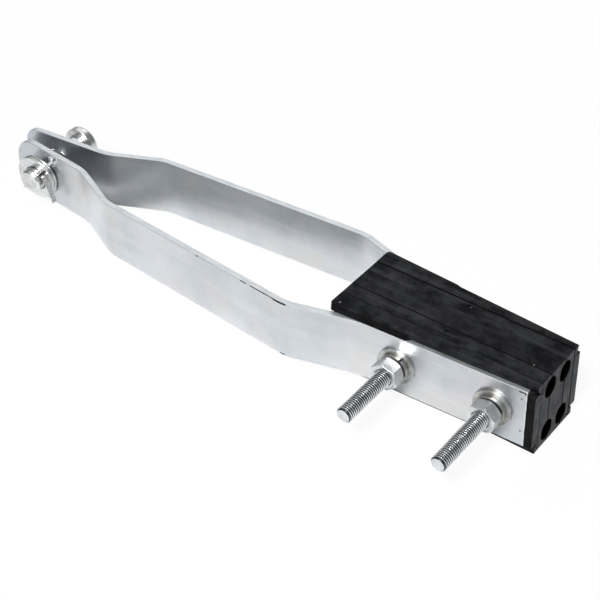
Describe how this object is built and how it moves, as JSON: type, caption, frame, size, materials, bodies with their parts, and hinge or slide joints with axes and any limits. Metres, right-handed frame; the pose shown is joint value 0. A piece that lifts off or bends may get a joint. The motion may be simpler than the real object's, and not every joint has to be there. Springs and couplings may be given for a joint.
{
  "type": "anchor clamp",
  "caption": "Tension clamp for overhead bundled conductors: two bent flat bars, pinned as a clevis at one end and bolted round a channelled rubber block at the other",
  "frame": {"origin": "centre of the clevis pin, between the two ears, at mid height", "axes": "+X from the clevis to the channel end, +Y to the side of the bolt heads and the pin's head, +Z across the width of the bars, up"},
  "size_m": [0.4085, 0.1168, 0.0496],
  "materials": {
    "bar": "zinc-coated satin",
    "fastener": "bright zinc plated",
    "block": "matt, dense rubber"
  },
  "bodies": {
    "rear_half": {"rear_strap": "bar", "rear_cheek": "block", "rear_jaw": "block", "inner_bolt": "fastener", "outer_bolt": "fastener", "inner_rear_washer": "fastener", "outer_rear_washer": "fastener"},
    "front_half": {"front_strap": "bar", "front_cheek": "block", "front_jaw": "block"},
    "insert": {"centre_insert": "block"},
    "inner_washers": {"inner_front_washer": "fastener", "inner_spring_washer": "fastener"},
    "inner_nut_body": {"inner_nut": "fastener"},
    "outer_washers": {"outer_front_washer": "fastener", "outer_spring_washer": "fastener"},
    "outer_nut_body": {"outer_nut": "fastener"},
    "pin_washers": {"inner_pin_washer": "fastener", "outer_pin_washer": "fastener"},
    "pin": {"clevis_pin": "fastener", "split_pin": "fastener"}
  },
  "joints": [
    {"name": "front_half_opening", "type": "hinge", "parent": "rear_half", "child": "front_half", "pos_m": [0.01634, -0.01085, 0], "axis": [0, 0, -1], "range_deg": [0, 3.3]},
    {"name": "insert_slide", "type": "slide", "parent": "rear_half", "child": "insert", "axis": [0, -1, 0], "range_m": [0, 0.00696]},
    {"name": "inner_washer_slide", "type": "slide", "parent": "rear_half", "child": "inner_washers", "axis": [0, -1, 0], "range_m": [0, 0.0171]},
    {"name": "inner_nut_turn", "type": "hinge", "parent": "inner_washers", "child": "inner_nut_body", "pos_m": [0.2982, 0, 0], "axis": [0, -1, 0], "range_deg": [0, 4093.6]},
    {"name": "outer_washer_slide", "type": "slide", "parent": "rear_half", "child": "outer_washers", "axis": [0, -1, 0], "range_m": [0, 0.02059]},
    {"name": "outer_nut_turn", "type": "hinge", "parent": "outer_washers", "child": "outer_nut_body", "pos_m": [0.3587, 0, 0], "axis": [0, -1, 0], "range_deg": [0, 4929.9]},
    {"name": "pin_slide", "type": "slide", "parent": "rear_half", "child": "pin_washers", "axis": [0.0732, -0.9973, 0], "range_m": [0, 0.0175]},
    {"name": "pin_turn", "type": "hinge", "parent": "pin_washers", "child": "pin", "pos_m": [0, 0, 0], "axis": [0.0732, -0.9973, 0], "continuous": true}
  ],
  "couplings": [
    {"joint": "insert_slide", "follows": "front_half_opening", "m_per_rad": 0.12},
    {"joint": "inner_washer_slide", "follows": "front_half_opening", "m_per_rad": 0.29611},
    {"joint": "inner_nut_turn", "follows": "front_half_opening", "ratio": 1240.3},
    {"joint": "outer_washer_slide", "follows": "front_half_opening", "m_per_rad": 0.35661},
    {"joint": "outer_nut_turn", "follows": "front_half_opening", "ratio": 1493.8}
  ]
}
